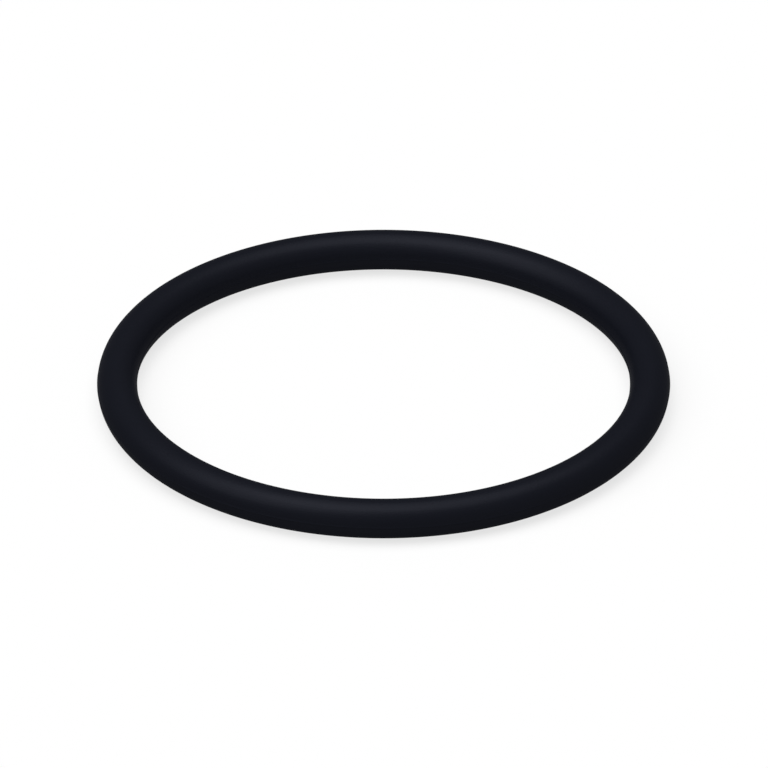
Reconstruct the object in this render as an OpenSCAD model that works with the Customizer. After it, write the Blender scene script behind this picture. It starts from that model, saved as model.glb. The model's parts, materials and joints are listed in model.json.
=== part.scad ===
// Moulded rubber o-ring, lying flat, with the ring's axis along Z and the origin at the ring's centre.
// It is one solid: a round cord closed on itself, with the fine line that the two halves of the
// mould leave around the inside and the outside, half way up.

/* [Ring] */
// Inside diameter of the ring, over the round cord
inside_d = 37; // [12:0.5:150]
// Diameter of the round cord
cord_d = 3; // [1:0.1:8]

/* [Parting line] */
// How far the parting line stands proud of the round cord
line_proud = 0.02; // [0.01:0.005:0.08]
// Width of the parting line where it leaves the round cord
line_base_w = 0.08; // [0.08:0.01:0.16]
// Width of the flat crest of the parting line
line_crest_w = 0.05; // [0.02:0.01:0.07]

/* [Hidden] */
rubber_colour = [0.10, 0.10, 0.12];
round_steps = 180;
cord_r = cord_d / 2;
// The cord's centre line is a circle of this radius
centre_line_r = inside_d / 2 + cord_r;
// The parting line's crest, measured from the middle of the cord
crest_reach = cord_r + line_proud;
// Its flanks run on into the cord as far as they stand proud, at the same slope
buried_reach = cord_r - line_proud;
buried_w = 2 * line_base_w - line_crest_w;

// The parting line on the outer side of the cord, as points across the cord from below to above
outer_line = [
    [buried_reach, -buried_w / 2],
    [crest_reach, -line_crest_w / 2],
    [crest_reach, line_crest_w / 2],
    [buried_reach, buried_w / 2]
];
// The same points turned half way round the cord, for the inner side
inner_line = [for (point = outer_line) -point];

// The cord's section as it leaves the mould: a true circle with a parting line on both sides
module cord_section() {
    union() {
        circle(r = cord_r, $fn = round_steps);
        polygon(concat(outer_line, inner_line));
    }
}

module o_ring() {
    color(rubber_colour)
        rotate_extrude($fn = round_steps)
            translate([centre_line_r, 0])
                cord_section();
}

o_ring();
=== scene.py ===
import json
import math

import bmesh
import bpy
from bpy.props import FloatProperty, FloatVectorProperty, IntProperty, PointerProperty
from bpy.types import Operator, Panel, PropertyGroup
from mathutils import Matrix, Vector, noise


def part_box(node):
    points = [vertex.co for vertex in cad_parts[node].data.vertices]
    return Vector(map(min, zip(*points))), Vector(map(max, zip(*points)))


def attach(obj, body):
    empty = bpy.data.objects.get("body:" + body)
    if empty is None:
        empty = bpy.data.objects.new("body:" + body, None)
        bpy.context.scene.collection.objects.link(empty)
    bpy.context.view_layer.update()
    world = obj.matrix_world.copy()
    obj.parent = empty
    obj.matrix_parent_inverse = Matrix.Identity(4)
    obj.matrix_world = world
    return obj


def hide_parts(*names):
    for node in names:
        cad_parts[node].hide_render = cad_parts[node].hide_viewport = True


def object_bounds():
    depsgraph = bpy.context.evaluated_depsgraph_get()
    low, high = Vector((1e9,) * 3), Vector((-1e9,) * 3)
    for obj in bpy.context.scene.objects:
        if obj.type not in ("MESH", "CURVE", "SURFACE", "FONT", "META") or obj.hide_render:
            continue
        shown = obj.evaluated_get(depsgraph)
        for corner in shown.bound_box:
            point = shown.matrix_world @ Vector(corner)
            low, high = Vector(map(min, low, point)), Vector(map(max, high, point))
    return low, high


bl_info = {
    "name": "Moulded o-ring",
    "version": (1, 0, 0),
    "blender": (4, 5, 0),
    "location": "3D View > Sidebar > O-ring",
    "description": "A moulded rubber o-ring with its parting line and satin skin, in a small studio",
    "category": "Object",
}

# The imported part, and its box before anything is built around it
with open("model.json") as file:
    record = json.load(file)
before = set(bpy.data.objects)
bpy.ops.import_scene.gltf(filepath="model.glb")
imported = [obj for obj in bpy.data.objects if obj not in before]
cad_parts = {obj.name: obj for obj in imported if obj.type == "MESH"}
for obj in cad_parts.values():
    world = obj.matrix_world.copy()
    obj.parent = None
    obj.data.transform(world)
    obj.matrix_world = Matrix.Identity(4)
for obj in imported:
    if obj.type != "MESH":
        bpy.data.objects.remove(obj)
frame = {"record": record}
cad_low, cad_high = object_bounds()

MM = 0.001
CAD_NODE = "o_ring"

# The name of the map that the skin is laid out in. A map of this name is kept when the
# finish is baked for the export
SKIN_MAP = "OFBake"


def seat_radius(mount_name):
    """The radius of one of the record's round seats, in metres."""
    for mount in frame["record"]["mounts"]:
        if mount["name"] == mount_name:
            return mount["dims"]["r_mm"] * MM
    raise ValueError(f"the record has no mount named {mount_name}")


# The ring's own sizes. The cord's middle runs half way between the two seats, and the rest comes from
# the node's box, so that the finished ring stays inside it.
ring_low, ring_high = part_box(CAD_NODE)
RING_R = (seat_radius("inner_seat") + seat_radius("outer_seat")) / 2
CORD_R = (ring_high.z - ring_low.z) / 2
CREST_R = min(ring_high.x, ring_high.y, -ring_low.x, -ring_low.y)
LINE_PROUD = CREST_R - RING_R - CORD_R


class RingSizes(PropertyGroup):
    """Sizes of the ring and of the line that the mould leaves on it."""

    ring_r: FloatProperty(
        name="Ring radius",
        description="From the ring's axis to the middle of the cord",
        default=RING_R,
        unit="LENGTH",
        subtype="DISTANCE",
    )
    cord_r: FloatProperty(
        name="Cord radius",
        description="Radius of the round cord",
        default=CORD_R,
        unit="LENGTH",
        subtype="DISTANCE",
    )
    line_proud: FloatProperty(
        name="Line height",
        description="How far the parting line stands proud of the cord",
        default=LINE_PROUD,
        unit="LENGTH",
        subtype="DISTANCE",
    )
    line_base_w: FloatProperty(
        name="Line width",
        description="Width of the parting line where it leaves the cord",
        default=0.08 * MM,
        unit="LENGTH",
        subtype="DISTANCE",
    )
    line_crest_w: FloatProperty(
        name="Crest width",
        description="Width of the flat crest of the parting line",
        default=0.05 * MM,
        unit="LENGTH",
        subtype="DISTANCE",
    )
    line_wear: FloatProperty(
        name="Line wear",
        description="Share of the line's height that tumbling has taken off at its lowest places",
        default=0.45,
        min=0.0,
        max=0.9,
        subtype="FACTOR",
    )
    steps_around: IntProperty(
        name="Steps around the ring",
        description="Faces around the ring, a multiple of the four strips that the skin is laid out in",
        default=720,
        min=96,
    )
    steps_over: IntProperty(
        name="Steps over the cord",
        description="Faces over each half of the cord, from one parting line to the other",
        default=32,
        min=8,
    )


class RubberFinish(PropertyGroup):
    """Colour and skin of the rubber."""

    deep: FloatVectorProperty(
        name="Deep colour",
        description="The rubber's colour where its skin is densest",
        default=(0.0015, 0.0020, 0.0044),
        size=3,
        min=0.0,
        max=1.0,
        subtype="COLOR",
    )
    light: FloatVectorProperty(
        name="Light colour",
        description="The rubber's colour where a little filler shows",
        default=(0.0024, 0.0030, 0.0056),
        size=3,
        min=0.0,
        max=1.0,
        subtype="COLOR",
    )
    line_colour: FloatVectorProperty(
        name="Line colour",
        description="The rubber's colour along the trimmed parting line",
        default=(0.0027, 0.0033, 0.0058),
        size=3,
        min=0.0,
        max=1.0,
        subtype="COLOR",
    )
    roughness: FloatProperty(
        name="Roughness",
        description="Roughness of the moulded skin",
        default=0.435,
        min=0.0,
        max=1.0,
        subtype="FACTOR",
    )
    gloss: FloatVectorProperty(
        name="Gloss",
        description="Share of the light that the satin skin mirrors head on",
        default=(0.0066, 0.0068, 0.0083),
        size=3,
        min=0.0,
        max=1.0,
        subtype="COLOR",
    )
    glare: FloatProperty(
        name="Edge glare",
        description="Specular level that the growth of the gloss towards the edges goes by",
        default=0.0042,
        min=0.0,
        max=1.0,
        subtype="FACTOR",
    )
    skin_depth: FloatProperty(
        name="Skin depth",
        description="Depth of the fine satin that the mould's blasted cavity leaves",
        default=0.008 * MM,
        unit="LENGTH",
        subtype="DISTANCE",
    )


class StudioSettings(PropertyGroup):
    """Light, floor and camera."""

    top_light: FloatProperty(
        name="Top light",
        description="Light that the overhead softbox gives what faces it; 1 shows colours as written",
        default=0.55,
        min=0.0,
    )
    side_light: FloatProperty(
        name="Side light",
        description="Light that the left softbox gives what faces it",
        default=0.448,
        min=0.0,
    )
    room_light: FloatProperty(
        name="Room light",
        description="Light from all round the room",
        default=0.08,
        min=0.0,
    )
    softbox_spread: FloatProperty(
        name="Softbox spread",
        description="Angle that each softbox spans, as the ring sees it",
        default=math.radians(57),
        unit="ROTATION",
        subtype="ANGLE",
    )
    elevation: FloatProperty(
        name="Camera elevation",
        description="Angle of the camera's line of sight above the floor",
        default=math.radians(30.3),
        unit="ROTATION",
        subtype="ANGLE",
    )
    view_w: FloatProperty(
        name="View width",
        description="Width of what the camera takes in",
        default=57.644 * MM,
        unit="LENGTH",
        subtype="DISTANCE",
    )


class Wire:
    """An output socket of a shader node. Operators on it add Math nodes."""

    def __init__(self, tree, socket=None):
        self.tree = tree
        self.socket = socket

    def node(self, kind, settings=None, inputs=None, output=0):
        """Adds a node with its settings, then the values or wires of its sockets. Returns an output."""
        made = self.tree.nodes.new(kind)
        for name, value in (settings or {}).items():
            setattr(made, name, value)
        for name, value in (inputs or {}).items():
            if isinstance(value, Wire):
                self.tree.links.new(value.socket, made.inputs[name])
            else:
                made.inputs[name].default_value = value
        return Wire(self.tree, made.outputs[output]) if len(made.outputs) else None

    def other(self, output):
        """Another output of the same node."""
        return Wire(self.tree, self.socket.node.outputs[output])

    def maths(self, operation, *terms):
        """A Math node on these values or wires."""
        return self.node("ShaderNodeMath", {"operation": operation}, dict(enumerate(terms)))

    def __add__(self, term):
        return self.maths("ADD", self, term)

    def __sub__(self, term):
        return self.maths("SUBTRACT", self, term)

    def __rsub__(self, term):
        return self.maths("SUBTRACT", term, self)

    def __mul__(self, term):
        return self.maths("MULTIPLY", self, term)

    def __abs__(self):
        return self.maths("ABSOLUTE", self)

    __radd__ = __add__
    __rmul__ = __mul__


WHITE = (1.0, 1.0, 1.0, 1.0)

# Sockets of a Mix node that mixes colours
MIX_FACTOR, MIX_FIRST, MIX_SECOND, MIX_RESULT = 0, 6, 7, 2


def opaque(colour):
    """A colour with full alpha, as the sockets take it."""
    return (*colour, 1.0)


def new_tree(owner):
    """An empty node tree on a material or a world, as a wire to start from."""
    owner.use_nodes = True
    owner.node_tree.nodes.clear()
    return Wire(owner.node_tree)


def mixed_colour(start, factor, first, second):
    """A Mix node between two colours, which are tuples or wires."""
    sockets = {MIX_FACTOR: factor, MIX_FIRST: first, MIX_SECOND: second}
    return start.node("ShaderNodeMix", {"data_type": "RGBA"}, sockets, MIX_RESULT)


def mixed_surface(start, factor, first, second):
    """A Mix Shader node between two surfaces."""
    return start.node("ShaderNodeMixShader", inputs={0: factor, 1: first, 2: second})


def grain(start, place, scale, detail=3.0):
    """Noise from 0 to 1 over a place, with scale features to each unit of it."""
    inputs = {"Vector": place, "Scale": scale, "Detail": detail}
    return start.node("ShaderNodeTexNoise", {"noise_dimensions": "3D"}, inputs)


def turning_marks(start, place, ring_r):
    """Marks from the lathe that turned the mould, long round the ring and narrow over the cord."""
    x = start.node("ShaderNodeSeparateXYZ", inputs={"Vector": place})
    y = x.other("Y")
    z = x.other("Z")

    # Round the cord: how far out from its middle, and at what angle
    outward = start.maths("SQRT", x * x + y * y) - ring_r
    over_cord = start.maths("ARCTAN2", z, outward)

    marks_per_metre = 60.0
    marks_per_radian = 9.0
    marks_place = start.node(
        "ShaderNodeCombineXYZ",
        inputs={"X": x * marks_per_metre, "Y": y * marks_per_metre, "Z": over_cord * marks_per_radian},
    )
    return grain(start, marks_place, scale=1.0)


def parting_line(start, place, line_base_w):
    """1 on the parting line and 0 off it, with a soft change at the line's feet."""
    height = start.node("ShaderNodeSeparateXYZ", inputs={"Vector": place}, output="Z")
    foot = line_base_w / 2
    whole_up_to = 0.9 * foot
    gone_from = 1.5 * foot
    return start.node(
        "ShaderNodeMapRange",
        {"interpolation_type": "SMOOTHSTEP"},
        {
            "Value": abs(height),
            "From Min": whole_up_to,
            "From Max": gone_from,
            "To Min": 1.0,
            "To Max": 0.0,
        },
    )


def moulded_rubber(sizes, finish):
    """Satin black rubber as it leaves the mould, a little duller along its parting line."""
    material = bpy.data.materials.new("moulded_rubber")
    start = new_tree(material)
    place = start.node("ShaderNodeTexCoord", output="Object")
    marks = turning_marks(start, place, sizes.ring_r)
    on_line = parting_line(start, place, sizes.line_base_w)

    # The satin of the blasted cavity, and slow changes in how the rubber has cured
    pits_per_metre = 9000.0
    clouds_per_metre = 260.0
    pits = grain(start, place, pits_per_metre, detail=2.0)
    clouds = grain(start, place, clouds_per_metre)

    skin_colour = mixed_colour(start, clouds, opaque(finish.deep), opaque(finish.light))
    colour = mixed_colour(start, on_line, skin_colour, opaque(finish.line_colour))

    # How much the clouds, the marks and the line each change the roughness
    by_clouds, by_marks, by_line = 0.06, 0.05, 0.12
    noise_middle = 0.5
    uneven = (clouds - noise_middle) * by_clouds + (marks - noise_middle) * by_marks
    roughness = finish.roughness + uneven + on_line * by_line

    # The marks are this deep where the pits are 1 deep
    marks_depth = 0.8
    relief = pits + marks * marks_depth
    bump = start.node(
        "ShaderNodeBump", inputs={"Strength": 1.0, "Distance": finish.skin_depth, "Height": relief}
    )

    # The pits of a satin skin hold back the glare that a polished one has along its edges. A low index
    # and specular level keep that glare down. They leave too little mirrored head on, and the tint lifts
    # it to the skin's own gloss.
    skin_index = 1.25
    mirrored = 2 * ((skin_index - 1) / (skin_index + 1)) ** 2 * finish.glare
    lift = [gloss / mirrored for gloss in finish.gloss]
    surface = start.node(
        "ShaderNodeBsdfPrincipled",
        inputs={
            "Base Color": colour,
            "Roughness": roughness,
            "IOR": skin_index,
            "Specular IOR Level": finish.glare,
            "Specular Tint": opaque(lift),
            "Normal": bump,
        },
    )
    start.node("ShaderNodeOutputMaterial", inputs={"Surface": surface})
    return material


def half_cord(sizes, upper):
    """Angles over one half of the cord, from the outer parting line's foot to the inner one's."""
    foot = math.asin(sizes.line_base_w / 2 / sizes.cord_r)
    steps = sizes.steps_over
    angles = [foot + (math.pi - 2 * foot) * i / steps for i in range(steps + 1)]
    return angles if upper else [angle + math.pi for angle in angles]


def line_height(sizes, turn, side):
    """Height of the parting line at an angle round the ring. Tumbling has worn it a little unevenly."""
    wear_length = 1.4 * MM
    usual_wear = 0.35
    # The inner and the outer line wear apart, so their noise is read this far to each side
    apart = 5
    spot = Vector((math.cos(turn), math.sin(turn), 0)) * (sizes.ring_r / wear_length)
    wear = usual_wear + noise.noise(spot + Vector((0, 0, apart * side)))
    return sizes.line_proud * (1 - sizes.line_wear * min(1.0, max(0.0, wear)))


def cord_section(sizes, turn):
    """Points over the cord at an angle round the ring, as outward and upward distances from its middle."""
    points = []
    half_crest = sizes.line_crest_w / 2
    for upper in (True, False):
        for angle in half_cord(sizes, upper):
            points.append((sizes.cord_r * math.cos(angle), sizes.cord_r * math.sin(angle)))
        # The upper half ends at the inner parting line, and the lower half at the outer one
        side = -1 if upper else 1
        reach = side * (sizes.cord_r + line_height(sizes, turn, side))
        points.append((reach, -side * half_crest))
        points.append((reach, side * half_crest))
    return points


def lay_out_skin(mesh, sizes, count_over):
    """A map of the skin in four strips, one above the other, cut along the ring's underside."""
    strips = 4
    # The room between two strips, as a share of the whole map
    gap = 0.01
    layer = mesh.loops.layers.uv.new(SKIN_MAP)
    per_strip = sizes.steps_around // strips
    height = 1 / strips - gap
    for index, face in enumerate(mesh.faces):
        around, over = divmod(index, count_over)
        strip, step = divmod(around, per_strip)
        corners = ((step, over), (step + 1, over), (step + 1, over + 1), (step, over + 1))
        for loop, (along, across) in zip(face.loops, corners):
            u = gap / 2 + (1 - gap) * along / per_strip
            v = strip / strips + gap / 2 + height * across / count_over
            loop[layer].uv = (u, v)


def moulded_ring(sizes):
    """The ring's mesh: the cord's section carried round the axis in even steps."""
    mesh = bmesh.new()
    rows = []
    for step in range(sizes.steps_around):
        turn = math.tau * step / sizes.steps_around
        out = Vector((math.cos(turn), math.sin(turn), 0))
        section = cord_section(sizes, turn)
        # Start at the underside, where the map of the skin is cut
        start = len(section) // 4 * 3
        row = []
        for outward, upward in section[start:] + section[:start]:
            row.append(mesh.verts.new(out * (sizes.ring_r + outward) + Vector((0, 0, upward))))
        rows.append(row)
    count_over = len(rows[0])
    for step, row in enumerate(rows):
        after = rows[(step + 1) % len(rows)]
        for i in range(count_over):
            j = (i + 1) % count_over
            mesh.faces.new((row[i], after[i], after[j], row[j])).smooth = True
    lay_out_skin(mesh, sizes, count_over)

    # The line's feet and the edges of its crest are sharp
    sharp_angle = math.radians(18)
    for edge in mesh.edges:
        edge.smooth = edge.calc_face_angle(0) < sharp_angle
    data = bpy.data.meshes.new("moulded_ring")
    mesh.to_mesh(data)
    mesh.free()
    return data


class ORING_OT_make_ring(Operator):
    """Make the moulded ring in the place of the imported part's node"""

    bl_idname = "oring.make_ring"
    bl_label = "Make the ring"

    def execute(self, context):
        sizes = context.scene.oring_sizes
        ring = bpy.data.objects.new("moulded_ring", moulded_ring(sizes))
        context.scene.collection.objects.link(ring)
        ring.data.materials.append(moulded_rubber(sizes, context.scene.oring_finish))
        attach(ring, "root")
        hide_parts(CAD_NODE)
        return {"FINISHED"}


def shown_directly(start):
    """1 for rays that show a surface or the background itself, 0 for rays that only carry its light."""
    path = start.node("ShaderNodeLightPath", output="Is Camera Ray")
    return path + path.other("Is Glossy Ray") + path.other("Is Transmission Ray")


def pale_floor():
    """A pale grey floor that shows as white. Most of that white is its own, which keeps the shadow light."""
    material = bpy.data.materials.new("pale_floor")
    start = new_tree(material)
    grey = (0.6, 0.6, 0.6, 1.0)
    own_white = 0.75
    shown = shown_directly(start)
    paint_colour = mixed_colour(start, shown, grey, WHITE)
    paint = start.node("ShaderNodeBsdfDiffuse", inputs={"Color": paint_colour})
    white = start.node("ShaderNodeEmission", inputs={"Color": WHITE, "Strength": 1.0})
    surface = mixed_surface(start, shown * own_white, paint, white)
    start.node("ShaderNodeOutputMaterial", inputs={"Surface": surface})
    return material


def lay_floor(scene):
    """The floor, as high as the ring's underside."""
    half_width = 1.5
    mesh = bmesh.new()
    bmesh.ops.create_grid(mesh, x_segments=1, y_segments=1, size=half_width)
    data = bpy.data.meshes.new("floor")
    mesh.to_mesh(data)
    mesh.free()
    floor = bpy.data.objects.new("floor", data)
    floor.location.z = cad_low.z
    scene.collection.objects.link(floor)
    data.materials.append(pale_floor())


def light_room(scene, studio):
    """A white background that shows as itself, and a dimmer room that lights."""
    world = bpy.data.worlds.new("studio")
    scene.world = world
    start = new_tree(world)
    lights = start.node("ShaderNodeBackground", inputs={"Color": WHITE, "Strength": studio.room_light})
    shows = start.node("ShaderNodeBackground", inputs={"Color": WHITE, "Strength": 1.0})
    surface = mixed_surface(start, shown_directly(start), lights, shows)
    start.node("ShaderNodeOutputWorld", inputs={"Surface": surface})


# Where the softboxes hang, as directions from the ring
OVERHEAD = (0.05, 0.08, 1.0)
LEFT_AND_FRONT = (-0.63, -0.2, 1.0)


def hang_softbox(scene, name, towards, light, spread):
    """A soft lamp far away in a direction, which gives what faces it this much light."""
    lamp = bpy.data.lights.new(name, "SUN")
    lamp.energy = light * math.pi
    lamp.angle = spread
    holder = bpy.data.objects.new(name, lamp)
    holder.rotation_euler = Vector(towards).to_track_quat("Z", "Y").to_euler()
    scene.collection.objects.link(holder)


def set_camera(scene, studio):
    """A camera without perspective that looks down on the ring from the front."""
    data = bpy.data.cameras.new("camera")
    data.type = "ORTHO"
    data.ortho_scale = studio.view_w
    camera = bpy.data.objects.new("camera", data)
    scene.collection.objects.link(camera)
    distance = 0.4
    # The ring's middle lies a hair to the left of the picture's middle, and below it
    aim_right, aim_up = 0.028 * MM, 0.004 * MM
    turn = Matrix.Rotation(math.pi / 2 - studio.elevation, 4, "X")
    camera.matrix_world = turn @ Matrix.Translation((aim_right, aim_up, distance))
    data.clip_start = 0.01
    data.clip_end = 10.0
    scene.camera = camera


class ORING_OT_set_studio(Operator):
    """Set up the floor, the light and the camera"""

    bl_idname = "oring.set_studio"
    bl_label = "Set up the studio"

    def execute(self, context):
        scene = context.scene
        studio = scene.oring_studio
        lay_floor(scene)
        light_room(scene, studio)
        spread = studio.softbox_spread
        hang_softbox(scene, "top_softbox", OVERHEAD, studio.top_light, spread)
        hang_softbox(scene, "left_softbox", LEFT_AND_FRONT, studio.side_light, spread)
        set_camera(scene, studio)
        scene.view_settings.view_transform = "Standard"
        return {"FINISHED"}


class ORING_PT_panel(Panel):
    """The ring's sizes, finish and studio"""

    bl_idname = "ORING_PT_panel"
    bl_label = "O-ring"
    bl_space_type = "VIEW_3D"
    bl_region_type = "UI"
    bl_category = "O-ring"

    def draw(self, context):
        layout = self.layout
        for group in (context.scene.oring_sizes, context.scene.oring_finish, context.scene.oring_studio):
            column = layout.column()
            for name in group.__annotations__:
                column.prop(group, name)
        layout.operator(ORING_OT_make_ring.bl_idname)
        layout.operator(ORING_OT_set_studio.bl_idname)


CLASSES = (
    RingSizes,
    RubberFinish,
    StudioSettings,
    ORING_OT_make_ring,
    ORING_OT_set_studio,
    ORING_PT_panel,
)


def register():
    """Add the classes, and the settings that each scene holds."""
    for cls in CLASSES:
        bpy.utils.register_class(cls)
    bpy.types.Scene.oring_sizes = PointerProperty(type=RingSizes)
    bpy.types.Scene.oring_finish = PointerProperty(type=RubberFinish)
    bpy.types.Scene.oring_studio = PointerProperty(type=StudioSettings)


def unregister():
    """Take the settings and the classes out again."""
    del bpy.types.Scene.oring_studio
    del bpy.types.Scene.oring_finish
    del bpy.types.Scene.oring_sizes
    for cls in reversed(CLASSES):
        bpy.utils.unregister_class(cls)


def main():
    """Make the ring and its studio."""
    register()
    bpy.ops.oring.make_ring()
    bpy.ops.oring.set_studio()


if __name__ == "__main__":
    main()
